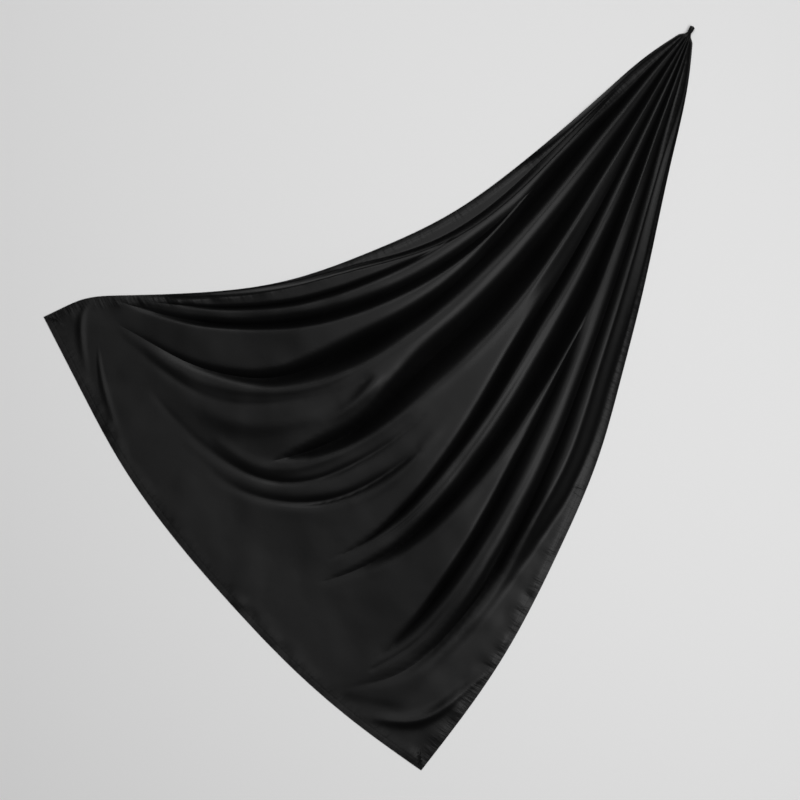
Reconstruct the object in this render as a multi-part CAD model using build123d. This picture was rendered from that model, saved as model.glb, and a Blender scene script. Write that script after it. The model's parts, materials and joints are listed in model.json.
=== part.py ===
from build123d import *
import math
import os

# Satin cape laid out flat: X and Y are the surface it lies on, +Z is up.
# All sizes are in millimetres and all angles in degrees.

# The gathered neck
apex_x = 575.3               # where the two side edges would meet if they ran on
apex_y = 661.9
neck_heading = 239.1         # the way the cloth runs out of its neck
nose_from_apex = 8.1         # from that meeting point back to the rounded end
bundle_radius = 4.6          # outside of the bound neck
binding_wall = 0.6
binding_length = 6.0
cap_height = 1.8
core_radius = 3.3            # pleats packed side by side
core_length = 12.0
pleat_count = 10
pleat_depth = 0.12
thread_radius = 0.25
whipping_radius = 0.35
whipping_turns = 5

# The cloth
panel_thickness = 0.8
neck_edge_radius = 9.0       # the cloth starts on this arc about the neck pivot
neck_edge_half_angle = 64.7
hem_width = 12.0
hem_thickness = 0.6
hem_gap = 0.25               # air between a hem and the cloth over it
edge_margin = 0.6            # a hem stays this far inside the cut edge
hem_start = 60.0             # the side hems run into the gathers here
stitching_start = 180.0      # and their stitching shows from here on
stitch_inset = 10.0
stitch_width = 0.6
stitch_height = 0.3
stitch_gap = 0.15
tack_length = 6.0
tack_width = 1.2
tack_inset = 6.5

# The folds that fan out of the neck
fold_count = 7
fold_height = 29.0
neck_arch = 7.0
flat_border = 16.0

# Where the three edges of the laid cloth pass
upper_side_points = [
    (489, 603), (418, 542), (277, 421), (140, 323), (0, 257),
    (-150, 206), (-300, 186), (-440, 181), (-505, 174), (-545, 157),
]
lower_side_points = [
    (564, 561), (534, 420), (480, 173), (444, 32),
    (406, -101), (337, -265), (231, -466),
]
hem_points = [(-510, 18), (-440, -111), (-245, -362), (-122, -489), (-16, -579)]
upper_corner = (-574, 143)
lower_corner = (92, -657)

# Worked out from the dimensions above
heading = Vector(math.cos(math.radians(neck_heading)), math.sin(math.radians(neck_heading)))
across = Vector(heading.Y, -heading.X)
apex = Vector(apex_x, apex_y)
nose = apex + heading * nose_from_apex
mouth_distance = cap_height + binding_length
pivot = nose + heading * mouth_distance
panel_base = hem_thickness + hem_gap
panel_top = panel_base + panel_thickness


def ease(value):
    value = max(0.0, min(1.0, value))
    return value * value * (3 - 2 * value)


def neck_edge(share):
    """A point on the cloth's narrow end, share 0 at the upper side."""
    angle = neck_heading + neck_edge_half_angle * (2 * share - 1)
    radians = math.radians(angle)
    return pivot + Vector(math.cos(radians), math.sin(radians)) * neck_edge_radius


def side_edge(start, points, end):
    return Spline([start] + [Vector(*p) for p in points] + [Vector(*end)])


upper_side = side_edge(neck_edge(0), upper_side_points, upper_corner)
lower_side = side_edge(neck_edge(1), lower_side_points, lower_corner)
hem_line = side_edge(Vector(*upper_corner), hem_points, lower_corner)


def panel_point(across_share, down_share):
    """Plan position: straight rows between the sides, bent to the neck arc and the hem."""
    u = across_share
    v = down_share
    row = upper_side @ v * (1 - u) + lower_side @ v * u
    neck_bend = neck_edge(u) - (neck_edge(0) * (1 - u) + neck_edge(1) * u)
    hem_bend = hem_line @ u - ((hem_line @ 0) * (1 - u) + (hem_line @ 1) * u)
    return row + neck_bend * (1 - v) + hem_bend * v


def border_share(down_share):
    """How much of a row's width its flat border takes at each end."""
    row_width = (lower_side @ down_share - upper_side @ down_share).length
    return min(flat_border, row_width * 0.1) / row_width


def panel_height(across_share, down_share):
    """Underside of the cloth above the floor."""
    border = border_share(down_share)
    inside = max(0.0, min(1.0, (across_share - border) / (1 - 2 * border)))
    wave = 0.5 - 0.5 * math.cos(2 * math.pi * fold_count * inside)
    rise = ease(down_share / 0.25) * (1 - ease((down_share - 0.5) / 0.42))
    arch = math.sin(math.pi * across_share) * (1 - ease(down_share / 0.16))
    return panel_base + fold_height * wave * rise + neck_arch * arch


def make_panel():
    rows = 34
    border_columns = 3
    fold_columns = fold_count * 10
    grid = []
    for i in range(rows + 1):
        v = (i / rows) ** 1.35
        border = border_share(v)
        shares = [border * j / border_columns for j in range(border_columns)]
        inner = [border + (1 - 2 * border) * j / fold_columns for j in range(fold_columns + 1)]
        outer = [1 - share for share in reversed(shares)]
        line = []
        for u in shares + inner + outer:
            place = panel_point(u, v)
            line.append(Vector(place.X, place.Y, panel_height(u, v)))
        grid.append(line)
    underside = Face.make_surface_from_array_of_points(grid, tol=0.02)
    return extrude(underside, panel_thickness, dir=(0, 0, 1))


def edge_strip(edge, first, last, near, far, bottom, height, side):
    """A band along an edge, between two insets from it, with side +1 on its left."""
    count = 16
    near_points = []
    far_points = []
    for i in range(count + 1):
        share = (first + (last - first) * i / count) / edge.length
        tangent = edge % share
        inward = Vector(-tangent.Y, tangent.X) * side
        near_points.append(edge @ share + inward * near)
        far_points.append(edge @ share + inward * far)
    near_curve = Spline(near_points)
    far_curve = Spline(far_points)
    start_line = Line(near_points[0], far_points[0])
    end_line = Line(near_points[-1], far_points[-1])
    band = make_face(near_curve + end_line + far_curve + start_line)
    return Pos(0, 0, bottom) * extrude(band, height, dir=(0, 0, 1))


def make_hem(edge, first, last, side):
    far = edge_margin + hem_width
    return edge_strip(edge, first, last, edge_margin, far, 0, hem_thickness, side)


def make_stitching(edge, first, last, side):
    far = stitch_inset + stitch_width
    bottom = panel_top + stitch_gap
    return edge_strip(edge, first, last, stitch_inset, far, bottom, stitch_height, side)


def make_corner_tacks():
    """Short bars that lock the ends of the hem stitching, one in each corner."""
    tacks = []
    bottom = panel_top + stitch_gap
    for corner, side, end in ((upper_corner, upper_side, 0), (lower_corner, lower_side, 1)):
        along_side = (side % 1) * -1
        along_hem = (hem_line % end) * (1 if end == 0 else -1)
        diagonal = (along_side + along_hem).normalized()
        centre = Vector(*corner) + diagonal * tack_inset
        turn = math.degrees(math.atan2(diagonal.Y, diagonal.X)) + 90
        bar = Box(tack_length, tack_width, stitch_height, align=(Align.CENTER, Align.CENTER, Align.MIN))
        tacks.append(Pos(centre.X, centre.Y, bottom) * Rot(0, 0, turn) * bar)
    return Compound(children=tacks)


# The neck pieces are made on a frame whose Z runs from the rounded end into the cloth
neck_plane = Plane(
    origin=(nose.X, nose.Y, bundle_radius),
    x_dir=(across.X, across.Y, 0),
    z_dir=(heading.X, heading.Y, 0),
)
on_bottom = (Align.CENTER, Align.CENTER, Align.MIN)


def make_cap():
    sphere_radius = (bundle_radius ** 2 + cap_height ** 2) / (2 * cap_height)
    half_turn = math.atan2(bundle_radius, sphere_radius - cap_height) / 2
    middle = (sphere_radius * math.sin(half_turn), sphere_radius * (1 - math.cos(half_turn)))
    outline = ThreePointArc((0, 0), middle, (bundle_radius, cap_height))
    outline += Polyline((bundle_radius, cap_height), (0, cap_height), (0, 0))
    section = Plane.XZ * make_face(outline)
    return neck_plane * revolve(section, axis=Axis.Z)


def make_binding():
    outer = Cylinder(bundle_radius, binding_length, align=on_bottom)
    inner = Cylinder(bundle_radius - binding_wall, binding_length, align=on_bottom)
    return neck_plane * (Pos(0, 0, cap_height) * (outer - inner))


def make_core():
    points = []
    steps = pleat_count * 4
    for i in range(steps):
        angle = 2 * math.pi * i / steps
        radius = core_radius + pleat_depth * math.cos(pleat_count * angle)
        points.append((radius * math.cos(angle), radius * math.sin(angle)))
    section = make_face(Spline(points, periodic=True))
    return neck_plane * (Pos(0, 0, cap_height) * extrude(section, core_length))


def make_rings(places, wire_radius):
    ring_radius = core_radius + pleat_depth + wire_radius + 0.04
    rings = [neck_plane * (Pos(0, 0, place) * Torus(ring_radius, wire_radius)) for place in places]
    return Compound(children=rings)


def make_gathering_thread():
    return make_rings((cap_height + 1.5, cap_height + 4.5), thread_radius)


def make_whipping():
    first = mouth_distance + whipping_radius + 0.1
    pitch = 2 * whipping_radius + 0.05
    return make_rings([first + pitch * i for i in range(whipping_turns)], whipping_radius)


side_end = hem_width + 2.5
row_end = stitch_inset + 1.5
pieces = {
    "neck_cap": make_cap(),
    "neck_binding": make_binding(),
    "neck_core": make_core(),
    "gathering_thread": make_gathering_thread(),
    "neck_whipping": make_whipping(),
    "cape_panel": make_panel(),
    "upper_side_hem": make_hem(upper_side, hem_start, upper_side.length - side_end, 1),
    "lower_side_hem": make_hem(lower_side, hem_start, lower_side.length - side_end, -1),
    "bottom_hem": make_hem(hem_line, edge_margin, hem_line.length - edge_margin, 1),
    "upper_side_stitching": make_stitching(upper_side, stitching_start, upper_side.length - row_end, 1),
    "lower_side_stitching": make_stitching(lower_side, stitching_start, lower_side.length - row_end, -1),
    "bottom_hem_stitching": make_stitching(hem_line, row_end, hem_line.length - row_end, 1),
    "corner_tacks": make_corner_tacks(),
}

os.makedirs("parts", exist_ok=True)
for name, shape in pieces.items():
    export_step(shape, f"parts/{name}.step")

print("neck pivot", round(pivot.X, 2), round(pivot.Y, 2), bundle_radius)
middle_of_binding = nose + heading * (cap_height + binding_length / 2)
print("middle of the binding", round(middle_of_binding.X, 2), round(middle_of_binding.Y, 2))
print("side lengths", round(upper_side.length), round(lower_side.length), "hem", round(hem_line.length))
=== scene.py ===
import bmesh
import bpy
import json
import math
import numpy as np
from mathutils import Matrix, Vector, noise
from mathutils.bvhtree import BVHTree


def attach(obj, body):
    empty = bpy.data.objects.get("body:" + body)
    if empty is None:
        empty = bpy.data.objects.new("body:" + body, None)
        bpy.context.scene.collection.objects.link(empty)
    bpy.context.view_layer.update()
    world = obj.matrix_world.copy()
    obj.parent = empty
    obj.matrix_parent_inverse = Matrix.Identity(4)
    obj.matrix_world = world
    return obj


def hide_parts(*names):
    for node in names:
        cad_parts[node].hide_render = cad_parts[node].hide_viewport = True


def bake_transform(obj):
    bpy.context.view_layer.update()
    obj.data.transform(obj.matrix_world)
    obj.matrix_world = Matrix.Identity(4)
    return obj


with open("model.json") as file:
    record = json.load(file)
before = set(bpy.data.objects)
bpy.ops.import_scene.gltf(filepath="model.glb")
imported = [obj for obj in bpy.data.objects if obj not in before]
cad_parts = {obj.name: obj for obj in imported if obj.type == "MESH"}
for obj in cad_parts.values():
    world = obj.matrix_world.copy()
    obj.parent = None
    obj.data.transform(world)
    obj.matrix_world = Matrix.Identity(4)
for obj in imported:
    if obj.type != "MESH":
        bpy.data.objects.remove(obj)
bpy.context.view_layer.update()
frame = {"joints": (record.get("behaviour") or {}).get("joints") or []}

mm = 0.001


def ease(value):
    value = np.clip(value, 0.0, 1.0)
    return value * value * (3 - 2 * value)


def easeFrom(value, stretch):
    start, length = stretch
    return ease((value - start) / length)


def smoothCurve(points, samples):
    # a natural cubic spline through the points, read at evenly spread places along it
    knots = np.array(points, float)
    gaps = np.linalg.norm(np.diff(knots[:, :2], axis=0), axis=1)
    reach = np.concatenate([[0.0], np.cumsum(gaps)])
    count = len(knots)
    system = np.eye(count)
    target = np.zeros_like(knots)
    for i in range(1, count - 1):
        before, after = gaps[i - 1], gaps[i]
        system[i, i - 1:i + 2] = before, 2 * (before + after), after
        target[i] = 6 * ((knots[i + 1] - knots[i]) / after - (knots[i] - knots[i - 1]) / before)
    bend = np.linalg.solve(system, target)
    place = np.linspace(0, reach[-1], samples)
    span = np.clip(np.searchsorted(reach, place, side="right") - 1, 0, count - 2)
    width = gaps[span][:, None]
    a = (reach[span + 1] - place)[:, None] / width
    b = 1 - a
    cubic = ((a ** 3 - a) * bend[span] + (b ** 3 - b) * bend[span + 1]) * width ** 2 / 6
    return a * knots[span] + b * knots[span + 1] + cubic


class EdgeCurve:
    # an edge of the cloth, read by its share of the edge's length
    def __init__(self, points):
        self.points = smoothCurve(points, 1500)
        steps = np.linalg.norm(np.diff(self.points, axis=0), axis=1)
        self.reach = np.concatenate([[0.0], np.cumsum(steps)])
        self.length = self.reach[-1]

    def at(self, share):
        place = np.asarray(share, float) * self.length
        x = np.interp(place, self.reach, self.points[:, 0])
        y = np.interp(place, self.reach, self.points[:, 1])
        return np.stack([x, y], -1)


def objectFrom(bm, name, smooth=True):
    mesh = bpy.data.meshes.new(name)
    bm.to_mesh(mesh)
    bm.free()
    if smooth:
        mesh.shade_smooth()
    piece = bpy.data.objects.new(name, mesh)
    bpy.context.scene.collection.objects.link(piece)
    return piece


def applied(piece):
    # its modifiers become part of its mesh
    bpy.context.view_layer.update()
    graph = bpy.context.evaluated_depsgraph_get()
    mesh = bpy.data.meshes.new_from_object(
        piece.evaluated_get(graph), preserve_all_data_layers=True, depsgraph=graph)
    piece.modifiers.clear()
    piece.data = mesh
    return piece


def thicken(piece, thickness):
    # cloth of that thickness below the faces
    solid = piece.modifiers.new("thickness", "SOLIDIFY")
    solid.thickness = thickness
    solid.offset = -1
    return applied(piece)


def readPlaces(mesh):
    places = np.zeros(len(mesh.vertices) * 3)
    mesh.vertices.foreach_get("co", places)
    return places.reshape(-1, 3)


def writeUv(mesh, uvByVertex):
    layer = mesh.uv_layers.new(name="cloth")
    corners = np.zeros(len(mesh.loops), int)
    mesh.loops.foreach_get("vertex_index", corners)
    layer.data.foreach_set("uv", uvByVertex[corners].astype(np.float32).ravel())


def writeValues(mesh, name, values):
    mesh.attributes.new(name, "FLOAT", "POINT").data.foreach_set("value", values.astype(np.float32))


outline = {
    "pivot": tuple(frame["joints"][0]["pos_m"]),
    "heading": 239.1,          # degrees, the way the cloth runs out of its neck
    "neckEdgeRadius": 0.009,
    "neckEdgeHalfAngle": 64.7,
    "upperSide": [(0.489, 0.603), (0.418, 0.542), (0.277, 0.421), (0.140, 0.323), (0.0, 0.257),
                  (-0.150, 0.206), (-0.300, 0.186), (-0.440, 0.181), (-0.505, 0.174), (-0.545, 0.157)],
    "lowerSide": [(0.564, 0.561), (0.534, 0.420), (0.480, 0.173), (0.444, 0.032),
                  (0.406, -0.101), (0.337, -0.265), (0.231, -0.466)],
    "hem": [(-0.510, 0.018), (-0.440, -0.111), (-0.245, -0.362), (-0.122, -0.489), (-0.016, -0.579)],
    "upperCorner": (-0.574, 0.143),
    "lowerCorner": (0.092, -0.657),
}

headingAngle = math.radians(outline["heading"])
heading = np.array([math.cos(headingAngle), math.sin(headingAngle)])
across = np.array([heading[1], -heading[0]])   # from the lower side towards the upper side
pivot = np.array(outline["pivot"][:2])


def neckEdge(share):
    angle = headingAngle + math.radians(outline["neckEdgeHalfAngle"]) * (2 * np.asarray(share, float) - 1)
    return pivot + np.stack([np.cos(angle), np.sin(angle)], -1) * outline["neckEdgeRadius"]


upperSide = EdgeCurve([neckEdge(0)] + outline["upperSide"] + [outline["upperCorner"]])
lowerSide = EdgeCurve([neckEdge(1)] + outline["lowerSide"] + [outline["lowerCorner"]])
hemLine = EdgeCurve([outline["upperCorner"]] + outline["hem"] + [outline["lowerCorner"]])
edges = {"upper": upperSide, "lower": lowerSide, "hem": hemLine}


def planPlace(down, over):
    # where a share down the cape and a share across it lie on the floor
    down = np.asarray(down, float)
    over = np.asarray(over, float)
    d = down[..., None]
    o = over[..., None]
    row = upperSide.at(down) * (1 - o) + lowerSide.at(down) * o
    neckBend = neckEdge(over) - (neckEdge(0) * (1 - o) + neckEdge(1) * o)
    hemBend = hemLine.at(over) - (hemLine.at(0) * (1 - o) + hemLine.at(1) * o)
    return row + neckBend * (1 - d) + hemBend * d


def rowWidth(down):
    return np.linalg.norm(lowerSide.at(down) - upperSide.at(down), axis=-1)


# The gathered cloth stands in rounded folds with V-shaped gaps between them. Shares run down the cape
# from its neck, or across it from its upper side.
folds = {
    "lie": 1.0,                # mm, the lowest that the top of the cloth lies
    "flat": 0.416,             # mm above that, where no fold raises it
    "soften": 0.6,             # mm, how gently a fold meets the flat cloth
    "fullHeight": 29.0,        # mm, the tops of the folds
    "neckHeight": 8.5,
    "risen": 0.28,             # share down where they stand at their full height
    "fullWidth": 0.30,         # m, rows narrower than this have tighter folds
    "merge": 5.0,              # how sharply one gap gives way to its neighbour
    "samples": 170,
    "slope": 1.1,              # how steeply the walls of a gap fall
    "steepest": 0.96,          # no gap cuts deeper than this share of the fold
    "crisp": (0.62, 0.18, 0.4),
    # where the folds have died out: share across, share down
    "lastRow": [(0, 0.93), (0.08, 0.945), (0.30, 0.955), (0.50, 0.955), (0.62, 0.935), (0.70, 0.94),
                (0.82, 1.0), (0.90, 1.0), (1.0, 0.93)],
    "fade": 0.42,
    # the feet of the first and the last fold: share down, share across
    "upperFoot": [(0.05, 0.06), (0.15, 0.085), (0.25, 0.098), (0.38, 0.100), (0.48, 0.070),
                  (0.56, 0.034), (0.64, 0.016), (0.72, 0.006), (0.80, 0.0)],
    "lowerFoot": [(0.05, 0.96), (0.15, 0.935), (0.25, 0.93), (0.45, 0.932), (0.58, 0.938),
                  (0.70, 0.920), (0.85, 0.905)],
    # the width in m of their outer flanks, by share down
    "upperFlank": [(0.4, 0.018), (0.5, 0.012)],
    "lowerFlank": [(0.1, 0.020), (0.25, 0.028), (0.5, 0.040), (0.7, 0.044)],
    # the level of the cloth outside them, by share down
    "upperLevel": [(0.12, 0.9), (0.30, 0.14)],
    "lowerLevel": [(0.50, 0.15), (0.72, 0.10)],
    "domePower": 0.7,
    "domeEnd": (0.06, 0.14),   # share down where the dome ends, and over what share
}

# A gap is a list of places: share down, share across, half width in mm and, where it isn't the usual
# slope, how steeply the walls fall.
# "soft" is how many mm its two brims take to turn over, on the upper side and on the lower side.
# "crisp" is where down the cape the brims get sharper, over what share of it, and by how much.
gaps = {
    "border": {"soft": (2.5, 3), "path": [
        (0.40, 0.105, 0.5, 0.1), (0.47, 0.099, 3, 0.8), (0.55, 0.086, 5), (0.62, 0.074, 5.5),
        (0.70, 0.057, 5), (0.78, 0.037, 3.5, 0.9), (0.845, 0.018, 1, 0.2)]},
    "first": {"soft": (5, 3), "path": [
        (0.26, 0.170, 1, 0.2), (0.31, 0.171, 5, 0.55), (0.36, 0.172, 8, 0.85), (0.42, 0.170, 9.5, 1.05),
        (0.50, 0.165, 10), (0.60, 0.141, 11), (0.70, 0.108, 10), (0.75, 0.090, 8), (0.80, 0.069, 7),
        (0.85, 0.042, 5, 1.0), (0.895, 0.012, 1, 0.2)]},
    "second": {"soft": (5, 6), "path": [
        (0.01, 0.250, 2, 1.0), (0.10, 0.234, 6), (0.18, 0.217, 11.5), (0.25, 0.214, 16),
        (0.31, 0.222, 17), (0.37, 0.238, 15), (0.43, 0.252, 13), (0.50, 0.260, 15), (0.60, 0.252, 21),
        (0.65, 0.246, 21), (0.70, 0.241, 18), (0.75, 0.231, 14), (0.80, 0.200, 9, 0.9),
        (0.85, 0.150, 5, 0.75), (0.88, 0.105, 3.5, 0.6), (0.925, 0.040, 1, 0.15)]},
    "third": {"soft": (7, 6), "path": [
        (0.01, 0.440, 2, 1.0), (0.10, 0.442, 6), (0.20, 0.431, 12), (0.30, 0.417, 17),
        (0.40, 0.413, 23), (0.50, 0.406, 27), (0.57, 0.403, 28), (0.63, 0.415, 22), (0.70, 0.428, 17),
        (0.75, 0.422, 15), (0.79, 0.411, 8, 0.9), (0.83, 0.397, 1, 0.15)]},
    "fourth": {"soft": (9, 6), "crisp": (0.36, 0.10, 0.6), "path": [
        (0.01, 0.580, 1, 1.0), (0.10, 0.585, 3), (0.20, 0.585, 5), (0.30, 0.582, 8), (0.40, 0.584, 12),
        (0.50, 0.601, 14), (0.60, 0.625, 11), (0.70, 0.641, 8), (0.76, 0.644, 6), (0.80, 0.641, 3, 0.9),
        (0.85, 0.630, 1, 0.15)]},
    "fifth": {"soft": (6, 3.5), "path": [
        (0.01, 0.700, 2, 1.0), (0.10, 0.710, 4), (0.20, 0.722, 8), (0.30, 0.720, 13), (0.38, 0.721, 18),
        (0.46, 0.713, 18), (0.53, 0.707, 16), (0.60, 0.706, 15), (0.70, 0.705, 13), (0.75, 0.701, 12),
        (0.80, 0.690, 10), (0.84, 0.675, 7, 1.0), (0.89, 0.650, 1, 0.15)]},
    "sixth": {"soft": (3, 6), "path": [
        (0.39, 0.772, 0.5, 0.3), (0.44, 0.777, 4, 1.0), (0.50, 0.780, 7), (0.60, 0.791, 11),
        (0.70, 0.811, 12), (0.76, 0.817, 12), (0.82, 0.821, 10), (0.87, 0.822, 6, 1.0),
        (0.92, 0.815, 1, 0.15)]},
    "seventh": {"soft": (7, 6), "path": [
        (0.04, 0.828, 1, 0.6), (0.12, 0.830, 2, 1.0), (0.20, 0.840, 3), (0.30, 0.843, 5),
        (0.40, 0.851, 6), (0.50, 0.860, 8), (0.60, 0.873, 11), (0.70, 0.889, 16), (0.76, 0.892, 18),
        (0.82, 0.887, 17), (0.88, 0.878, 13), (0.92, 0.862, 11, 1.0), (0.95, 0.838, 6, 0.8),
        (0.98, 0.805, 1, 0.15)]},
    "swagUpper": {"soft": (6, 6), "path": [
        (0.63, 0.508, 1, 0.2), (0.69, 0.504, 3, 0.5), (0.75, 0.492, 4, 0.8), (0.80, 0.475, 4, 0.8),
        (0.85, 0.430, 4, 0.8), (0.88, 0.367, 3, 0.6), (0.90, 0.295, 2, 0.5), (0.915, 0.200, 1, 0.3)]},
    "swagLower": {"soft": (6, 5), "path": [
        (0.67, 0.567, 1, 0.3), (0.71, 0.560, 4, 0.7), (0.75, 0.551, 5, 0.9), (0.80, 0.530, 6, 0.9),
        (0.85, 0.487, 7, 1.0), (0.88, 0.445, 7, 1.0), (0.90, 0.400, 6, 0.9), (0.92, 0.320, 1, 0.2)]},
    "swagInner": {"soft": (9, 9), "path": [
        (0.64, 0.343, 1, 0.15), (0.70, 0.322, 4, 0.16), (0.75, 0.298, 5, 0.22), (0.80, 0.272, 5, 0.18),
        (0.85, 0.226, 4, 0.15), (0.88, 0.173, 4, 0.3), (0.90, 0.128, 3, 0.3), (0.92, 0.077, 2, 0.15)]},
}

# low ridges on the cloth, or dents where the height is negative: share down, share across, height and
# width in mm
ripples = {
    "thirdLip": [
        (0.22, 0.505, 0.3, 5), (0.32, 0.498, 1.3, 6), (0.45, 0.492, 1.6, 7), (0.55, 0.480, 2.2, 8),
        (0.65, 0.466, 2.2, 7), (0.75, 0.452, 1.8, 6), (0.84, 0.405, 1.5, 7), (0.87, 0.33, 0.8, 7)],
    "fifthLip": [
        (0.45, 0.752, 0.5, 4), (0.55, 0.744, 1.2, 5), (0.65, 0.742, 1.8, 7), (0.75, 0.727, 1.2, 7),
        (0.83, 0.695, 0.5, 6)],
    "loop": [
        (0.73, 0.372, 0.5, 7), (0.69, 0.374, 2.2, 7), (0.655, 0.362, 2.8, 7), (0.635, 0.345, 1.6, 8),
        (0.645, 0.325, 0.2, 8)],
    "lobe": [
        (0.70, 0.350, 0.4, 12), (0.75, 0.342, 2.4, 13), (0.80, 0.322, 3.2, 14), (0.84, 0.290, 2.4, 13),
        (0.87, 0.240, 0.5, 12)],
    "shelfLip": [
        (0.60, 0.560, 0.5, 12), (0.65, 0.568, 2.0, 8), (0.72, 0.575, 1.6, 8), (0.78, 0.560, 0.6, 8)],
    "secondLip": [
        (0.58, 0.310, 0.3, 5), (0.65, 0.297, 1.5, 6), (0.72, 0.279, 1.8, 6), (0.79, 0.243, 1.2, 5),
        (0.85, 0.190, 0.6, 5), (0.89, 0.118, 0.4, 5)],
    "longCrease": [
        (0.43, 0.315, -0.1, 2.2), (0.52, 0.318, -0.6, 2.5), (0.62, 0.312, -0.8, 3.0),
        (0.68, 0.303, -0.3, 3)],
    "middleCrease": [
        (0.40, 0.652, -0.1, 2.0), (0.52, 0.652, -0.5, 2.2), (0.66, 0.666, -0.8, 2.5),
        (0.78, 0.661, -0.7, 2.5), (0.86, 0.625, -0.2, 3)],
    "lateCrease": [
        (0.50, 0.819, -0.1, 2.0), (0.62, 0.836, -0.5, 2.2), (0.76, 0.848, -0.8, 2.5),
        (0.88, 0.846, -0.9, 2.5), (0.93, 0.826, -0.5, 3)],
    "shelfDip": [
        (0.14, 0.545, -0.3, 6), (0.28, 0.545, -1.6, 9), (0.37, 0.545, -2.0, 10),
        (0.45, 0.540, -1.0, 10), (0.54, 0.540, -0.2, 10)],
    "cornerFold": [
        (0.85, 0.992, 0.5, 4), (0.89, 0.972, 3.6, 6), (0.925, 0.960, 5.6, 7), (0.95, 0.942, 5.0, 7),
        (0.97, 0.910, 3.0, 6), (0.985, 0.875, 0.5, 5)],
    "cornerDip": [
        (0.955, 0.900, -0.3, 6), (0.972, 0.860, -1.2, 6), (0.985, 0.820, -0.3, 5)],
    "sideFoldOne": [
        (0.938, 0.008, 0.5, 4), (0.955, 0.032, 1.7, 4), (0.970, 0.070, 1.7, 4), (0.982, 0.115, 0.5, 4)],
    "sideFoldTwo": [
        (0.945, 0.070, 0.2, 4), (0.962, 0.115, 1.2, 4), (0.974, 0.170, 1.3, 4), (0.983, 0.235, 0.3, 4)],
}


def smoothRead(down, places):
    # reads a smooth line through (share down, value) places
    path = smoothCurve(places, 200)
    return np.interp(down, path[:, 0], path[:, 1])


def straightRead(share, places):
    return np.interp(share, [p[0] for p in places], [p[1] for p in places])


def foldTop(down, over):
    # how high the folds stand before the gaps are taken out
    grown = folds["fullHeight"] - folds["neckHeight"]
    rise = folds["neckHeight"] + grown * ease(down / folds["risen"])
    fade = ease((straightRead(over, folds["lastRow"]) - down) / folds["fade"])
    # the cloth outside the first and the last fold lies lower
    width = rowWidth(down)
    turn = np.minimum(width / folds["fullWidth"], 1.0)
    upperIn = over - smoothRead(down, folds["upperFoot"])
    upperRise = ease(upperIn * width / (straightRead(down, folds["upperFlank"]) * turn) + 0.5)
    upperLevel = straightRead(down, folds["upperLevel"])
    lowerIn = smoothRead(down, folds["lowerFoot"]) - over
    lowerRise = ease(lowerIn * width / (straightRead(down, folds["lowerFlank"]) * turn) + 0.5)
    lowerLevel = straightRead(down, folds["lowerLevel"])
    level = (upperLevel + (1 - upperLevel) * upperRise) * (lowerLevel + (1 - lowerLevel) * lowerRise)
    # close to the neck the whole bundle is one dome
    dome = np.maximum(4 * over * (1 - over), 0) ** folds["domePower"]
    gathered = 1 - easeFrom(down, folds["domeEnd"])
    return rise * fade * (dome * gathered + level * (1 - gathered))


def gapPath(name, samples):
    return smoothCurve([(*place, folds["slope"])[:4] for place in gaps[name]["path"]], samples)


def nearestOn(line, plan):
    # the nearest place on a line: its sample, its distance in mm and whether it lies on the upper side
    step = np.gradient(line, axis=0)
    reach = np.linalg.norm(step, axis=1)
    along = step / reach[:, None]
    nearest = np.zeros(len(plan), int)
    nearestGap = np.full(len(plan), np.inf)
    for i, point in enumerate(line):
        gap = (plan[:, 0] - point[0]) ** 2 + (plan[:, 1] - point[1]) ** 2
        closer = gap < nearestGap
        nearest[closer] = i
        nearestGap[closer] = gap[closer]
    offset = plan - line[nearest]
    direction = along[nearest]
    forward = (offset * direction).sum(-1)
    sideways = direction[:, 0] * offset[:, 1] - direction[:, 1] * offset[:, 0]
    past = np.maximum(np.abs(forward) - 0.55 * reach[nearest], 0)
    return nearest, np.hypot(sideways, past) / mm, sideways < 0


def foldHeight(plan, down, over):
    tight = np.minimum(rowWidth(down) / folds["fullWidth"], 1.0)
    top = foldTop(down, over)
    cuts = np.zeros(len(plan))
    for name, shape in gaps.items():
        path = gapPath(name, folds["samples"])
        roof = foldTop(path[:, 0], path[:, 1])
        nearest, away, upperSideOf = nearestOn(planPlace(path[:, 0], path[:, 1]), plan)
        half = np.maximum(path[nearest, 2], 0.5)
        start, length, amount = shape.get("crisp", folds["crisp"])
        crisp = tight * (1 - amount * ease((down - start) / length))
        upperSoft, lowerSoft = (s * crisp for s in shape["soft"])
        soft = np.where(upperSideOf, upperSoft, lowerSoft)
        # both walls meet at one depth
        upperDepth = upperSoft * np.logaddexp(0, half / upperSoft)
        lowerDepth = lowerSoft * np.logaddexp(0, half / lowerSoft)
        deepest = np.maximum(upperDepth, lowerDepth)
        match = deepest / np.where(upperSideOf, upperDepth, lowerDepth)
        limit = folds["steepest"] * roof[nearest] / deepest
        slope = np.minimum(np.maximum(path[nearest, 3], 0), limit) * match
        lean = (half - away) / soft
        cut = slope * soft * np.logaddexp(0, lean)
        cuts += cut ** folds["merge"]
    cuts = cuts ** (1 / folds["merge"])
    height = top - cuts
    for places in ripples.values():
        path = smoothCurve(places, 60)
        nearest, away, _ = nearestOn(planPlace(path[:, 0], path[:, 1]), plan)
        height += path[nearest, 2] * np.exp(-0.5 * (away / path[nearest, 3]) ** 2)
    # nothing sinks into the floor
    height = folds["soften"] * np.logaddexp(height / folds["soften"], 0)
    return height * mm


panel = {
    "columns": 250,
    "rows": 184,
    "thickness": 0.0004,
    "hemLength": 1.055,        # m, the cloth as it was cut
    "sideLength": 1.40,
    "flatBorder": 0.018,       # m, the hems keep this much of each edge low
    "narrowBorder": 0.06,      # and never more than this share of a row
    "hemmed": (0.14, 0.1),     # share down where the hems start to hold it, and over what share
    "gapSamples": 400,
    "even": (0.92, 0.08),      # share down where the columns start to spread evenly, and over what share
}

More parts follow.
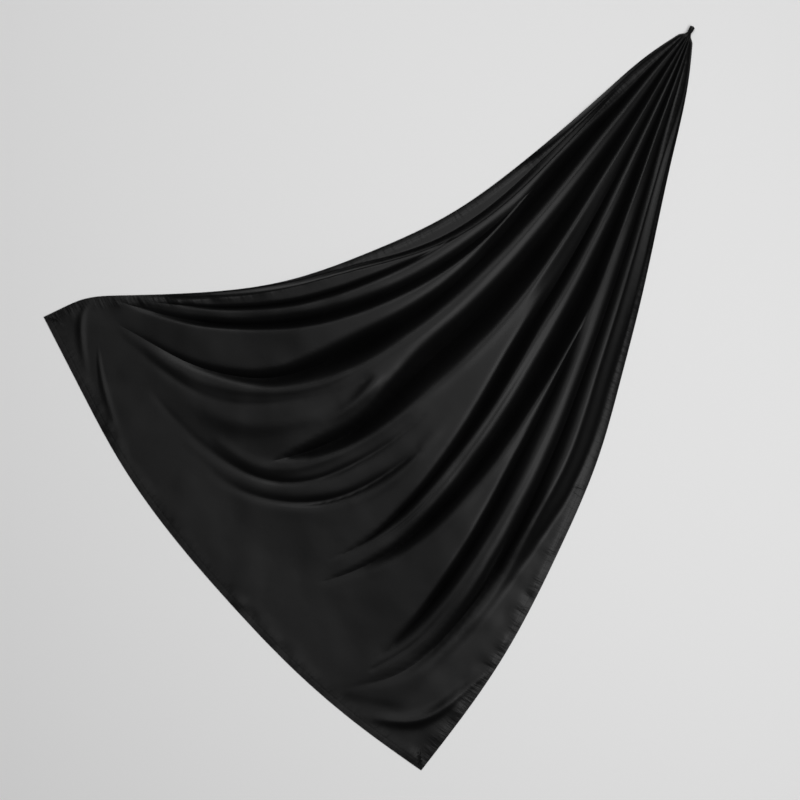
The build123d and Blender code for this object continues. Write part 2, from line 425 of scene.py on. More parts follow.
# these gaps fall along whole columns of the mesh, so that their bottoms are sharp
gapColumns = {"border": 22, "first": 41, "second": 65, "third": 100,
              "fourth": 150, "fifth": 178, "sixth": 195, "seventh": 215}
borderLimit = 0.58             # the border gap's column stays within this share of the way to the first

# how close the rows are: anywhere, and how much closer from or up to a share down, over what share
rowDensity = {
    "anywhere": 0.5,
    "from": (0.52, 0.12, 1.05),
    "upTo": [(0.06, 0.05, 1.0), (0.022, 0.012, 4.0)],
}


def columnShares(down):
    # where each column of the mesh crosses the rows
    rows = np.unique(down)
    columns = np.arange(panel["columns"] + 1)
    knots = [0] + list(gapColumns.values()) + [panel["columns"]]
    relax = easeFrom(rows, panel["even"])
    shares = [np.zeros(len(rows))]
    for name, column in gapColumns.items():
        path = gapPath(name, panel["gapSamples"])
        order = np.argsort(path[:, 0])
        follow = np.interp(rows, path[order, 0], path[order, 1])
        if name == "first":
            shares[-1] = np.minimum(shares[-1], borderLimit * follow)
        shares.append(follow * (1 - relax) + column / panel["columns"] * relax)
    shares.append(np.ones(len(rows)))
    shares = np.stack(shares)
    return np.array([np.interp(columns, knots, shares[:, i]) for i in range(len(rows))])


def rowShares(count):
    # rows stand closer together at the neck and where the folds swing across the cape
    place = np.linspace(0, 1, 400)
    start, length, more = rowDensity["from"]
    density = rowDensity["anywhere"] + more * ease((place - start) / length)
    for end, length, more in rowDensity["upTo"]:
        density += more * ease((end - place) / length)
    total = np.concatenate([[0], np.cumsum((density[1:] + density[:-1]) / 2)])
    return np.interp(np.linspace(0, 1, count), total / total[-1], place)


def edgeGaps(down, over):
    # how far a place is from the nearer side edge and from the bottom edge
    return np.minimum(over, 1 - over) * rowWidth(down), (1 - down) * panel["sideLength"]


waves = {
    "swell": 1.6,              # mm
    "swellRate": (9, 24),      # waves a metre: the broad ones and, at a share of them, the narrow ones
    "narrowShare": 0.35,
    "swellFrom": (0.25, 0.4),
    "calmBorder": 0.03,        # m
    "pucker": 0.7,             # mm
    "puckerLength": 0.021,     # m
    "puckerInset": 0.013,
    "puckerWidth": 0.010,
    "puckerSpread": 1.6,
    "slack": 1.9,              # mm, the looser stretch of the right-hand border
    "slackRate": 34,
    "slackMean": 0.3,
    "slackFrom": (0.5, 0.15),
    "slackReach": 0.040,       # m
    "slackEdge": 0.012,
    "slackHem": 0.050,
    "slackUpper": 0.35,        # how much of it the upper border has
}


def surfaceWaves(plan, down, over, sideGap, hemGap):
    # the slight unevenness of soft cloth, and the puckers that sewing pulls into its border
    broad, narrow = waves["swellRate"]
    swell = np.array([noise.noise((broad * x, broad * y, 0.5))
                      + waves["narrowShare"] * noise.noise((narrow * x, narrow * y, 3.5)) for x, y in plan])
    nearEdge = np.minimum(sideGap, hemGap)
    calm = easeFrom(down, waves["swellFrom"]) * ease(nearEdge / waves["calmBorder"])
    # each edge has puckers of its own
    along = np.where(sideGap < hemGap, down * panel["sideLength"], over * panel["hemLength"])
    side = np.where(sideGap < hemGap, np.where(over < 0.5, 3.0, 8.0), 13.0)
    rate = 1 / waves["puckerLength"]
    pucker = np.array([noise.noise((rate * s, k, 0.5)) * (0.6 + 1.6 * noise.noise((9 * s, k, 5.5)))
                       for s, k in zip(along, side)])
    hemmed = easeFrom(down, panel["hemmed"])
    past = nearEdge - waves["puckerInset"]
    hold = np.exp(-(past / waves["puckerWidth"]) ** 2) * hemmed
    # the border keeps one level right out to its edge
    level = np.exp(-(np.maximum(past, 0) / waves["puckerWidth"]) ** 2) * hemmed
    raised = waves["swell"] * swell * calm
    raised += waves["pucker"] * (0.5 * level + waves["puckerSpread"] * pucker * hold)
    rate = waves["slackRate"]
    loose = np.array([noise.noise((rate * x, rate * y, 9.5)) for x, y in plan])
    slack = np.exp(-(sideGap / waves["slackReach"]) ** 2) * ease(sideGap / waves["slackEdge"])
    slack = slack * easeFrom(down, waves["slackFrom"])
    slack *= ease(hemGap / waves["slackHem"]) * np.where(over > 0.5, 1.0, waves["slackUpper"])
    return (raised + waves["slack"] * (waves["slackMean"] + loose) * slack) * mm


# close to the neck the cloth rolls round into the binding, its two sides meeting underneath
neckRoll = {
    "radius": 0.00336,         # m, inside the whipping
    "hidden": 0.002,           # this much is inside the binding
    "straight": 0.0054,
    "opening": 0.010,          # and over this length it opens out
    "turn": 169.0,             # degrees from the top to each side edge
    "pleats": 12,
    "pleatDepth": 0.0002,
    "pleatGrowth": 0.0006,
    "pleatLength": 0.012,
    "axisHeight": 0.0046,
    "flare": 0.42,
    "stretch": 1.1,
    "settle": 0.08,
}


def neckRollPlace(down, over, place):
    reach = down * panel["sideLength"]
    spread = np.maximum(reach - neckRoll["straight"], 0)
    opened = np.sin(np.clip(spread / neckRoll["opening"], 0, 1) * math.pi / 2)
    wave = 0.5 - 0.5 * np.cos(2 * math.pi * neckRoll["pleats"] * over)
    depth = neckRoll["pleatDepth"] + neckRoll["pleatGrowth"] * ease(spread / neckRoll["pleatLength"])
    radius = neckRoll["radius"] + neckRoll["flare"] * spread - depth * wave
    angle = math.radians(neckRoll["turn"]) * (1 - 2 * over)
    axial = reach * neckRoll["stretch"] - neckRoll["hidden"]
    x = pivot[0] + heading[0] * axial + across[0] * radius * np.sin(angle)
    y = pivot[1] + heading[1] * axial + across[1] * radius * np.sin(angle)
    settled = np.clip(1 - spread / neckRoll["settle"], 0, 1)
    z = neckRoll["axisHeight"] + radius * np.cos(angle) * settled
    rolled = np.stack([x, y, z], -1)
    mix = opened[..., None]
    result = rolled * (1 - mix) + place * mix
    result[..., 2] = np.maximum(result[..., 2], folds["lie"] * mm)
    return result


def surfacePlace(down, over):
    plan = planPlace(down, over)
    height = foldHeight(plan, down, over)
    sideGap, hemGap = edgeGaps(down, over)
    border = np.minimum(panel["flatBorder"], rowWidth(down) * panel["narrowBorder"])
    height *= np.sqrt(ease(sideGap / border))
    flat = folds["flat"] * mm * easeFrom(down, panel["hemmed"])
    height = flat + (height - flat) * ease(hemGap / panel["flatBorder"])
    height += folds["lie"] * mm + surfaceWaves(plan, down, over, sideGap, hemGap)
    place = np.stack([plan[:, 0], plan[:, 1], height], -1)
    return neckRollPlace(down, over, place)


def makePanel():
    bm = bmesh.new()
    bmesh.ops.create_grid(bm, x_segments=panel["columns"], y_segments=panel["rows"], size=0.5)
    piece = objectFrom(bm, "capePanel")
    mesh = piece.data
    places = readPlaces(mesh)
    column = np.rint((places[:, 0] + 0.5) * panel["columns"]).astype(int)
    row = np.rint((0.5 - places[:, 1]) * panel["rows"]).astype(int)
    down = rowShares(panel["rows"] + 1)[row]
    over = columnShares(down)[row, column]
    mesh.vertices.foreach_set("co", surfacePlace(down, over).ravel())
    # the bottom of a deep gap is a crisp line
    ends = np.zeros(len(mesh.edges) * 2, int)
    mesh.edges.foreach_get("vertices", ends)
    ends = ends.reshape(-1, 2)
    sharp = np.zeros(len(mesh.edges), bool)
    for name, gapColumn in gapColumns.items():
        path = gaps[name]["path"]
        inGap = (column == gapColumn) & (down > path[0][0]) & (down < path[-1][0])
        sharp |= inGap[ends[:, 0]] & inGap[ends[:, 1]]
    # so is the cut edge
    for line in (column == 0, column == panel["columns"], row == 0, row == panel["rows"]):
        sharp |= line[ends[:, 0]] & line[ends[:, 1]]
    mesh.attributes.new("sharp_edge", "BOOLEAN", "EDGE").data.foreach_set("value", sharp)
    # the finish reads how far in from the nearest edge a place is, and how far along that edge
    sideGap, hemGap = edgeGaps(down, over)
    alongSide = down * panel["sideLength"] + 5 * (over < 0.5)
    along = np.where(sideGap < hemGap, alongSide, over * panel["hemLength"] + 10)
    writeValues(mesh, "edgeGap", np.minimum(sideGap * 0.93, hemGap * 0.96))
    writeValues(mesh, "edgeAlong", along)
    writeUv(mesh, np.stack([over * panel["hemLength"], down * panel["sideLength"]], -1))
    mesh.update()
    return piece


finishes = {
    "satinColour": (0.0005, 0.0005, 0.00055),
    "satinWorn": (0.0010, 0.0010, 0.0011),
    "satinRoughness": (0.335, 0.375),
    "satinSpecular": 0.16,
    "threadColour": (0.0016, 0.0016, 0.0017),
    "threadRoughness": 0.5,
    "floorColour": (0.86, 0.86, 0.86),
    "satinSheen": 0.004,
    "threadSheen": 0.02,
    "sheenRoughness": 0.4,
    "wearScale": 22,
    "patchScale": 9,
    "creaseScale": 34,
    "slubScale": (700, 60, 1),
    "threadSpecular": 0.2,
    "floorSpecular": 0.1,
    "floorRoughness": 0.9,
    "slub": 0.010,             # mm
    "creasing": 0.16,
    "ply": 0.06,
    "seamGroove": 0.06,
    "seamTick": 0.92,
    "seamInset": 0.010,        # m
    "seamWidth": 0.0016,
    "seamStep": (0.0110, 0.0150),
    "tickRate": (120.0, 26.0),
    "tickInset": 0.009,
    "tickWidth": 0.011,
}


class Shading:
    # a material and short ways to add nodes to it
    def __init__(self, name, specular):
        self.material = bpy.data.materials.new(name)
        self.material.use_nodes = True
        self.nodes = self.material.node_tree.nodes
        self.links = self.material.node_tree.links
        self.shader = self.nodes["Principled BSDF"]
        self.shader.inputs["Specular IOR Level"].default_value = specular

    def add(self, kind, settings=None, **values):
        node = self.nodes.new(kind)
        for key, value in (settings or {}).items():
            setattr(node, key, value)
        for key, value in values.items():
            self.put(node.inputs[key.replace("_", " ")], value)
        return node

    def put(self, socket, value):
        if isinstance(value, bpy.types.NodeSocket):
            self.links.new(value, socket)
        else:
            socket.default_value = value

    def maths(self, operation, first, second=0.0, third=0.0):
        node = self.nodes.new("ShaderNodeMath")
        node.operation = operation
        for socket, value in zip(node.inputs, (first, second, third)):
            self.put(socket, value)
        return node.outputs[0]

    def bell(self, value, middle, width):
        away = self.maths("DIVIDE", self.maths("SUBTRACT", value, middle), width)
        return self.maths("EXPONENT", self.maths("MULTIPLY", self.maths("MULTIPLY", away, away), -1.0))

    def noiseOf(self, vector, scale, detail=2.0, stretch=(1, 1, 1)):
        mapping = self.add("ShaderNodeMapping", Vector=vector, Scale=stretch)
        grain = self.add("ShaderNodeTexNoise", Vector=mapping.outputs[0], Scale=scale, Detail=detail)
        return grain.outputs[0]

    def spread(self, value, low, high, start=0.3, end=0.7):
        node = self.add("ShaderNodeMapRange", Value=value)
        self.put(node.inputs["From Min"], start)
        self.put(node.inputs["From Max"], end)
        self.put(node.inputs["To Min"], low)
        self.put(node.inputs["To Max"], high)
        return node.outputs[0]

    def colourBetween(self, value, first, second):
        mix = self.add("ShaderNodeMix", {"data_type": "RGBA"})
        self.links.new(value, mix.inputs[0])
        mix.inputs[6].default_value = (*first, 1)
        mix.inputs[7].default_value = (*second, 1)
        self.links.new(mix.outputs[2], self.shader.inputs["Base Color"])

    def relief(self, height, distance, under=None):
        bump = self.add("ShaderNodeBump", Height=height, Distance=distance, Strength=1.0)
        if under is not None:
            self.links.new(under.outputs[0], bump.inputs["Normal"])
        return bump


def finishMaterial(look, layer, sheen):
    look.links.new(layer.outputs[0], look.shader.inputs["Normal"])
    look.shader.inputs["Sheen Weight"].default_value = sheen
    look.shader.inputs["Sheen Roughness"].default_value = finishes["sheenRoughness"]
    return look.material


def seamRelief(look, layer):
    # the groove that the stitching pulls, the step at the hem's inner fold, and small puckers across both
    gap = look.add("ShaderNodeAttribute", {"attribute_name": "edgeGap"}).outputs["Fac"]
    along = look.add("ShaderNodeAttribute", {"attribute_name": "edgeAlong"}).outputs["Fac"]
    groove = look.bell(gap, finishes["seamInset"], finishes["seamWidth"])
    ridge = look.spread(gap, 0.5, 0.0, *finishes["seamStep"])
    layer = look.relief(look.maths("SUBTRACT", ridge, groove), finishes["seamGroove"] * mm, layer)
    alongRate, gapRate = finishes["tickRate"]
    place = look.add("ShaderNodeCombineXYZ", X=look.maths("MULTIPLY", along, alongRate),
                     Y=look.maths("MULTIPLY", gap, gapRate))
    ticks = look.add("ShaderNodeTexNoise", Vector=place.outputs[0], Scale=1.0, Detail=2.0).outputs[0]
    window = look.bell(gap, finishes["tickInset"], finishes["tickWidth"])
    height = look.maths("MULTIPLY", look.maths("SUBTRACT", ticks, 0.5), window)
    return look.relief(height, finishes["seamTick"] * mm, layer)


def satinMaterial(name, bordered, worn=1.0):
    # black satin: slubs along the warp, soft creasing, and a seam where it has a border
    look = Shading(name, finishes["satinSpecular"])
    space = look.nodes.new("ShaderNodeTexCoord")
    wear = look.spread(look.noiseOf(space.outputs["Object"], finishes["wearScale"], 4), 0.0, worn)
    look.colourBetween(wear, finishes["satinColour"], finishes["satinWorn"])
    low, high = finishes["satinRoughness"]
    patch = look.noiseOf(space.outputs["Object"], finishes["patchScale"], 3)
    look.links.new(look.spread(patch, low, high), look.shader.inputs["Roughness"])
    slubs = look.noiseOf(space.outputs["UV"], 1, 2, finishes["slubScale"])
    layer = look.relief(slubs, finishes["slub"] * mm)
    creases = look.noiseOf(space.outputs["Object"], finishes["creaseScale"], 3)
    layer = look.relief(creases, finishes["creasing"] * mm, layer)
    if bordered:
        layer = seamRelief(look, layer)
    return finishMaterial(look, layer, finishes["satinSheen"])


def threadMaterial(name, size):
    # twisted black polyester thread
    look = Shading(name, finishes["threadSpecular"])
    space = look.nodes.new("ShaderNodeTexCoord")
    grain = look.noiseOf(space.outputs["Object"], 1 / size, 3)
    first = finishes["threadColour"]
    look.colourBetween(look.spread(grain, 0.0, 1.0), first, tuple(1.8 * c for c in first))
    look.shader.inputs["Roughness"].default_value = finishes["threadRoughness"]
    return finishMaterial(look, look.relief(grain, finishes["ply"] * mm), finishes["threadSheen"])


def floorMaterial():
    look = Shading("paleFloor", finishes["floorSpecular"])
    look.shader.inputs["Base Color"].default_value = (*finishes["floorColour"], 1)
    look.shader.inputs["Roughness"].default_value = finishes["floorRoughness"]
    return look.material


studio = {
    "cameraAim": (0.0547, -0.0035, 0.0),
    "frameWidth": 1.412,       # m
    "lens": 85.0,              # mm
    "sensor": 36.0,
    "floorSize": 14.0,
    "surround": 0.10,
    # sides in m, power in W, azimuth and angle off the vertical in degrees, distance in m
    "lights": {
        "overheadSoftbox": ((2.2, 2.2), 28, 20, 3, 3.6),
        "rightSoftbox": ((1.5, 1.5), 44, -22, 30, 3.4),
        "topSoftbox": ((1.5, 1.3), 31, 92, 30, 3.4),
    },
}


def areaLight(name, size, power, azimuth, offVertical, distance):
    lamp = bpy.data.lights.new(name, "AREA")
    lamp.shape = "RECTANGLE"
    lamp.size, lamp.size_y = size
    lamp.energy = power
    light = bpy.data.objects.new(name, lamp)
    lean = math.radians(offVertical)
    turn = math.radians(azimuth)
    way = Vector((math.sin(lean) * math.cos(turn), math.sin(lean) * math.sin(turn), math.cos(lean)))
    light.location = way * distance
    light.rotation_euler = way.to_track_quat("Z", "Y").to_euler()
    bpy.context.scene.collection.objects.link(light)


def makeStudio():
    camera = bpy.data.cameras.new("camera")
    camera.lens = studio["lens"]
    camera.sensor_width = studio["sensor"]
    height = studio["frameWidth"] * studio["lens"] / studio["sensor"]
    eye = bpy.data.objects.new("camera", camera)
    eye.location = Vector(studio["cameraAim"]) + Vector((0, 0, height))
    bpy.context.scene.collection.objects.link(eye)
    bpy.context.scene.camera = eye
    bm = bmesh.new()
    bmesh.ops.create_grid(bm, x_segments=8, y_segments=8, size=studio["floorSize"] / 2)
    floor = objectFrom(bm, "floor", smooth=False)
    floor.data.materials.append(floorMaterial())
    for name, values in studio["lights"].items():
        areaLight(name, *values)
    world = bpy.data.worlds.new("studio")
    world.use_nodes = True
    world.node_tree.nodes["Background"].inputs["Color"].default_value = (1, 1, 1, 1)
    world.node_tree.nodes["Background"].inputs["Strength"].default_value = studio["surround"]
    bpy.context.scene.world = world
    bpy.context.scene.view_settings.view_transform = "Standard"


makeStudio()
print("studio ready")

satin = satinMaterial("blackSatin", True)
hemSatin = satinMaterial("blackSatinHem", False)
pleatSatin = satinMaterial("blackSatinPleats", False)
bindingSatin = satinMaterial("blackSatinBinding", False, 1.6)
sewingThread = threadMaterial("blackSewingThread", 0.0006)
bindingThread = threadMaterial("blackBindingThread", 0.0005)

capePanel = makePanel()
panelTree = BVHTree.FromPolygons([v.co.copy() for v in capePanel.data.vertices],
                                 [tuple(p.vertices) for p in capePanel.data.polygons])
clothArea = sum(p.area for p in capePanel.data.polygons)
print("cloth area", round(clothArea, 3))
capePanel = thicken(capePanel, panel["thickness"])
capePanel.data.materials.append(satin)
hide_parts("cape_panel")
print("panel ready", len(capePanel.data.polygons))


def onPanel(plan):
    # where places in plan come on the top of the cloth, and which way it faces there
    points = []
    normals = []
    for x, y in plan:
        hit, normal, _, _ = panelTree.ray_cast(Vector((x, y, 0.2)), Vector((0, 0, -1)))
        if hit is None:
            hit, normal, _, _ = panelTree.find_nearest(Vector((x, y, folds["lie"] * mm)))
        points.append(hit)
        normals.append(normal if normal.z > 0 else -normal)
    return np.array(points), np.array(normals)


def insidePlace(edge, share, inset):
    # places in plan that lie a distance inside one of the three edges
    share = np.asarray(share, float)
    step = 1e-3
    curve = edges[edge]
    ahead = curve.at(np.minimum(share + step, 1)) - curve.at(np.maximum(share - step, 0))
    start = planPlace(np.ones_like(share), share) if edge == "hem" else curve.at(share)
    ahead /= np.linalg.norm(ahead, axis=-1)[..., None]
    turn = -1.0 if edge == "lower" else 1.0
    inward = np.stack([-ahead[..., 1], ahead[..., 0]], -1) * turn
    return start + inward * np.asarray(inset)[..., None], ahead


# the three hems, folded double under the edges
hems = {
    "width": 0.012,
    "margin": 0.0006,
    "thickness": 0.0005,
    "below": 0.00006,          # air between a hem and the cloth over it
    "floorGap": 0.00002,
    "start": 0.060,
    "step": 0.0045,
    "foldRadius": 0.0002,
    "endGap": 0.001,
    "cornerGap": 0.0025,
}


def makeHem(name, edge, first, last):
    count = int((last - first) / hems["step"])
    bm = bmesh.new()
    bmesh.ops.create_grid(bm, x_segments=count, y_segments=6, size=0.5)
    piece = objectFrom(bm, name)
    spot = readPlaces(piece.data)
    along = first + (last - first) * (spot[:, 0] + 0.5)
    inset = hems["margin"] + hems["width"] * (spot[:, 1] + 0.5)
    plan = insidePlace(edge, along / edges[edge].length, inset)[0]
    top, normal = onPanel(plan)
    place = top - normal * (panel["thickness"] + hems["below"])
    place[:, 2] = np.maximum(place[:, 2], hems["thickness"] + hems["floorGap"])
    piece.data.vertices.foreach_set("co", place.ravel())
    writeUv(piece.data, np.stack([inset, along], -1))
    piece.data.update()
    if sum(p.normal.z for p in piece.data.polygons) < 0:
        piece.data.flip_normals()
    thicken(piece, hems["thickness"])
    rim = piece.modifiers.new("folds", "BEVEL")
    rim.width = hems["foldRadius"]
    rim.segments = 2
    rim.limit_method = "ANGLE"
    rim.angle_limit = math.radians(60)
    applied(piece)
    piece.data.materials.append(hemSatin)
    return piece


cornerSpace = hems["width"] + hems["cornerGap"]
upperHem = makeHem("upperSideHem", "upper", hems["start"], upperSide.length - cornerSpace)
lowerHem = makeHem("lowerSideHem", "lower", hems["start"], lowerSide.length - cornerSpace)
bottomEnd = hems["margin"] + hems["endGap"]
bottomHem = makeHem("bottomHem", "hem", bottomEnd, hemLine.length - bottomEnd)
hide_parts("upper_side_hem")
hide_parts("lower_side_hem")
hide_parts("bottom_hem")
print("hems ready")


# lockstitch along the hems, in black thread
stitches = {
    "inset": 0.0103,
    "start": 0.180,
    "length": 0.0026,
    "pitch": 0.0032,
    "width": 0.00055,
    "height": 0.00034,
    "cornerStop": 0.0118,
    "wander": 0.00018,
}


def addStitch(bm, centre, way, normal, length, width, height):
    # one loop of thread, its ends dipping into the cloth
    normal = Vector(normal)
    along = Vector((way[0], way[1], 0))
    along = (along - normal * along.dot(normal)).normalized()
    sideways = normal.cross(along)
    shape = Matrix((sideways * width / 2, normal * height / 2, along * length / 2)).transposed().to_4x4()
    shape.translation = centre
    bmesh.ops.create_uvsphere(bm, u_segments=6, v_segments=5, radius=1.0, matrix=shape)


def makeStitching(name, edge, first, last):
    count = int((last - first) / stitches["pitch"])
    along = first + stitches["pitch"] * (np.arange(count) + 0.5)
    wander = np.array([noise.noise((60 * s, 2.5, 0.5)) for s in along]) * stitches["wander"]
    plan, ahead = insidePlace(edge, along / edges[edge].length, stitches["inset"] + wander)
    tops, normals = onPanel(plan)
    bm = bmesh.new()
    for point, normal, way in zip(tops, normals, ahead):
        addStitch(bm, point, way, normal, stitches["length"], stitches["width"], stitches["height"])
    piece = objectFrom(bm, name)
    piece.data.materials.append(sewingThread)
    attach(piece, "cape")
    return piece


rowEnd = stitches["cornerStop"]
upperStitching = makeStitching("upperSideStitching", "upper", stitches["start"], upperSide.length - rowEnd)
lowerStitching = makeStitching("lowerSideStitching", "lower", stitches["start"], lowerSide.length - rowEnd)
hemStitching = makeStitching("bottomHemStitching", "hem", rowEnd, hemLine.length - rowEnd)
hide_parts("upper_side_stitching")
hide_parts("lower_side_stitching")
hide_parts("bottom_hem_stitching")
print("stitching ready")


# bar tacks that lock the rows of stitching in the two hem corners
tacks = {
    "inset": 0.0065,
    "length": 0.006,
    "width": 0.0012,
    "threads": 13,
    "lean": 0.25,              # how far a thread slants, and a long stitch lies off the middle
    "overhang": 1.15,
    "thread": (0.0005, 0.0005),
    "longThread": (0.00045, 0.0003),
}


def makeCornerTacks():
    bm = bmesh.new()
    offsets = (np.arange(tacks["threads"]) / (tacks["threads"] - 1) - 0.5) * tacks["length"]
    for corner, side, end in (("upperCorner", upperSide, 0), ("lowerCorner", lowerSide, 1)):
        alongSide = side.at(0.99) - side.at(1)
        alongHem = hemLine.at(abs(end - 0.01)) - hemLine.at(end)
        diagonal = alongSide / np.linalg.norm(alongSide) + alongHem / np.linalg.norm(alongHem)
        diagonal /= np.linalg.norm(diagonal)
        bar = np.array([-diagonal[1], diagonal[0]])
        middle = np.array(outline[corner]) + diagonal * tacks["inset"]
        tops, normals = onPanel([middle + bar * o for o in offsets])
        for i, (point, normal) in enumerate(zip(tops, normals)):
            way = diagonal + bar * (tacks["lean"] if i % 2 else -tacks["lean"])
            addStitch(bm, point, way, normal, tacks["width"] * tacks["overhang"], *tacks["thread"])
        for shift in (-tacks["lean"], tacks["lean"]):
            tops, normals = onPanel([middle + diagonal * tacks["width"] * shift])
            addStitch(bm, tops[0], bar, normals[0], tacks["length"], *tacks["longThread"])
    piece = objectFrom(bm, "cornerTacks")
    piece.data.materials.append(sewingThread)
    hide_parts("corner_tacks")
    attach(piece, "cape")
    return piece


cornerTacks = makeCornerTacks()
print("tacks ready")


# the bound neck is made in mm, with Z running from its rounded end into the cloth
neck = {
    "radius": 4.6,
    "wall": 0.6,
    "bindingLength": 6.0,
    "capHeight": 1.8,
    "coreRadius": 2.7,
    "coreLength": 11.0,
    "corePleats": 10,
    "threadRadius": 0.25,
    "threadRing": 3.72,
    "whippingRadius": 0.35,
    "whippingRing": 3.81,
    "whippingTurns": 5,
    "whippingPitch": 0.75,
    "pucker": 0.26,
    "wrinkle": 0.16,
}
mouth = neck["capHeight"] + neck["bindingLength"]
nose = pivot - heading * mouth * mm
neckMatrix = Matrix((
    (across[0] * mm, 0, heading[0] * mm, nose[0]),
    (across[1] * mm, 0, heading[1] * mm, nose[1]),
    (0, -mm, 0, neck["radius"] * mm),
    (0, 0, 0, 1),
))


def ring(bm, points, closed=True):
    # a loop of edges through points of height and radius, on the X side of the axis
    corners = [bm.verts.new((radius, 0, height)) for height, radius in points]
    pairs = list(zip(corners, corners[1:]))
    if closed:
        pairs.append((corners[-1], corners[0]))
    return corners + [bm.edges.new(pair) for pair in pairs]


def wireRing(bm, ringRadius, height, wireRadius, sides):
    turns = [2 * math.pi * i / sides for i in range(sides)]
    return ring(bm, [(height + wireRadius * math.sin(a), ringRadius + wireRadius * math.cos(a))
                     for a in turns])


def spun(bm, geometry, steps, angle=2 * math.pi, rise=0.0):
    whole = rise == 0.0
    bmesh.ops.spin(bm, geom=geometry, cent=(0, 0, 0), axis=(0, 0, 1), dvec=(0, 0, rise),
                   angle=angle, steps=steps, use_merge=whole)
    bmesh.ops.remove_doubles(bm, verts=bm.verts[:], dist=1e-5)
    return bm


def finishNeckPiece(bm, name, node, material):
    bmesh.ops.transform(bm, matrix=neckMatrix, verts=bm.verts[:])
    bmesh.ops.recalc_face_normals(bm, faces=bm.faces[:])
    piece = objectFrom(bm, name)
    piece.data.materials.append(material)
    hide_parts(node)
    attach(piece, "neck")
    return piece


def makeNeckCap():
    bm = bmesh.new()
    sphere = (neck["radius"] ** 2 + neck["capHeight"] ** 2) / (2 * neck["capHeight"])
    reach = math.asin(neck["radius"] / sphere)
    outer = [(sphere * (1 - math.cos(reach * i / 9)), sphere * math.sin(reach * i / 9)) for i in range(10)]
    inner = [(height + 0.55, radius * 0.87) for height, radius in reversed(outer[:-1])]
    spun(bm, ring(bm, outer + [(neck["capHeight"], neck["radius"] * 0.88)] + inner, False), 84)
    for vertex in bm.verts:
        radius = math.hypot(vertex.co.x, vertex.co.y)
        turn = math.atan2(vertex.co.y, vertex.co.x)
        share = radius / neck["radius"]
        fold = 0.5 + 0.5 * math.cos(14 * turn + 1.3 * math.sin(2 * turn))
        vertex.co.z += neck["pucker"] * fold * 4 * share * max(1 - share, 0)
        vertex.co.z += 0.35 * max(1 - share / 0.22, 0)
    return finishNeckPiece(bm, "neckCap", "neck_cap", bindingSatin)


def makeNeckBinding():
    bm = bmesh.new()
    low = neck["capHeight"]
    high = mouth
    outer = neck["radius"]
    inner = outer - neck["wall"]
    outside = [(low + 0.02, outer - 0.12), (low + 0.25, outer)]
    outside += [(low + 0.25 + 5.5 * i / 14, outer) for i in range(1, 14)]
    outside += [(high - 0.25, outer), (high - 0.05, outer - 0.08), (high, outer - 0.3)]
    outside += [(high - 0.05, inner + 0.06)]
    spun(bm, ring(bm, outside + [(high - 0.3, inner), (low + 0.3, inner), (low + 0.02, inner + 0.1)]), 96)
    for vertex in bm.verts:
        radius = math.hypot(vertex.co.x, vertex.co.y)
        if radius < inner + 0.15:
            continue
        turn = math.atan2(vertex.co.y, vertex.co.x)
        along = (vertex.co.z - low) / neck["bindingLength"]
        crumple = noise.noise((1.6 * math.cos(turn), 1.6 * math.sin(turn), 0.9 * vertex.co.z + 1.7 * turn))
        # the end of the tape laps over the first turn along a slant
        lap = 0.5 + 0.5 * math.tanh(9 * math.sin(turn - 2.4 - 1.1 * along))
        shrink = neck["wrinkle"] * (0.5 + crumple) + 0.12 * lap
        factor = (radius - max(0.0, min(0.3, shrink))) / radius
        vertex.co.x *= factor
        vertex.co.y *= factor
    return finishNeckPiece(bm, "neckBinding", "neck_binding", bindingSatin)


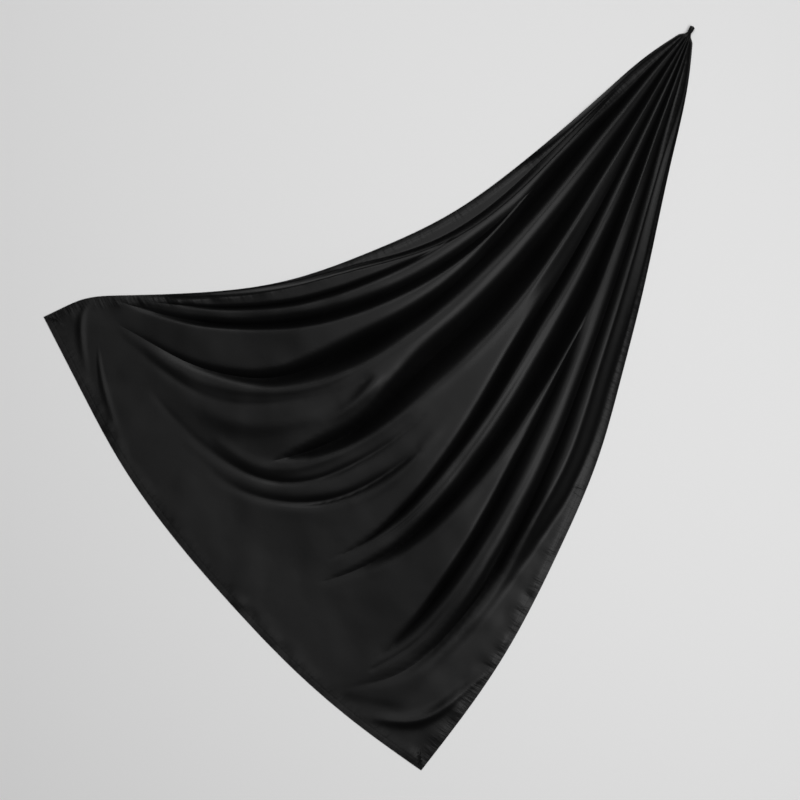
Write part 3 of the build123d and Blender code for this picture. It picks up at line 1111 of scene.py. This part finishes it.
def makeNeckCore():
    bm = bmesh.new()
    steps = neck["corePleats"] * 10
    bmesh.ops.create_circle(bm, segments=steps, radius=neck["coreRadius"], cap_ends=False)
    for vertex in bm.verts:
        turn = math.atan2(vertex.co.y, vertex.co.x)
        fold = abs(math.sin(neck["corePleats"] * turn / 2)) ** 0.7
        vertex.co *= 1 - 0.16 * (1 - fold)
        vertex.co.z = neck["capHeight"] + 0.1
    openEdges = bm.edges[:]
    levels = 8
    rise = (neck["coreLength"] - 0.1) / levels
    for _ in range(levels):
        grown = bmesh.ops.extrude_edge_only(bm, edges=openEdges)["geom"]
        verts = [g for g in grown if isinstance(g, bmesh.types.BMVert)]
        bmesh.ops.translate(bm, verts=verts, vec=(0, 0, rise))
        openEdges = [g for g in grown if isinstance(g, bmesh.types.BMEdge) and g.is_boundary]
    bmesh.ops.holes_fill(bm, edges=[e for e in bm.edges if e.is_boundary], sides=0)
    return finishNeckPiece(bm, "neckCore", "neck_core", pleatSatin)


def makeGatheringThread():
    bm = bmesh.new()
    for place in (1.5, 4.5):
        spun(bm, wireRing(bm, neck["threadRing"], neck["capHeight"] + place, neck["threadRadius"], 8), 72)
    return finishNeckPiece(bm, "gatheringThread", "gathering_thread", sewingThread)


def makeWhipping():
    bm = bmesh.new()
    wire = neck["whippingRadius"]
    first = mouth + wire + 0.1
    turns = neck["whippingTurns"] - 0.06
    perTurn = 64
    start = wireRing(bm, neck["whippingRing"], first, wire, 12)
    spun(bm, start, int(turns * perTurn), 2 * math.pi * turns, neck["whippingPitch"] / perTurn)
    for vertex in bm.verts:
        # plies of the thread
        radius = math.hypot(vertex.co.x, vertex.co.y)
        turn = math.atan2(vertex.co.y, vertex.co.x) / (2 * math.pi)
        done = turn + round((vertex.co.z - first) / neck["whippingPitch"] - turn)
        height = first + neck["whippingPitch"] * done
        roll = math.atan2(vertex.co.z - height, radius - neck["whippingRing"])
        size = wire * (0.93 + 0.07 * math.cos(3 * roll - 2 * math.pi * 16 * done))
        newRadius = neck["whippingRing"] + size * math.cos(roll)
        vertex.co.x *= newRadius / radius
        vertex.co.y *= newRadius / radius
        vertex.co.z = height + size * math.sin(roll)
    bmesh.ops.holes_fill(bm, edges=[e for e in bm.edges if e.is_boundary], sides=0)
    return finishNeckPiece(bm, "neckWhipping", "neck_whipping", bindingThread)


for makePiece in (makeNeckCap, makeNeckBinding, makeNeckCore, makeGatheringThread, makeWhipping):
    makePiece()
print("neck ready")

# the panel and the side hems have their places baked into their meshes, and the bottom hem turns with the
# cape
for piece in (capePanel, upperHem, lowerHem):
    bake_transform(piece)
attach(bottomHem, "cape")
print("joined")
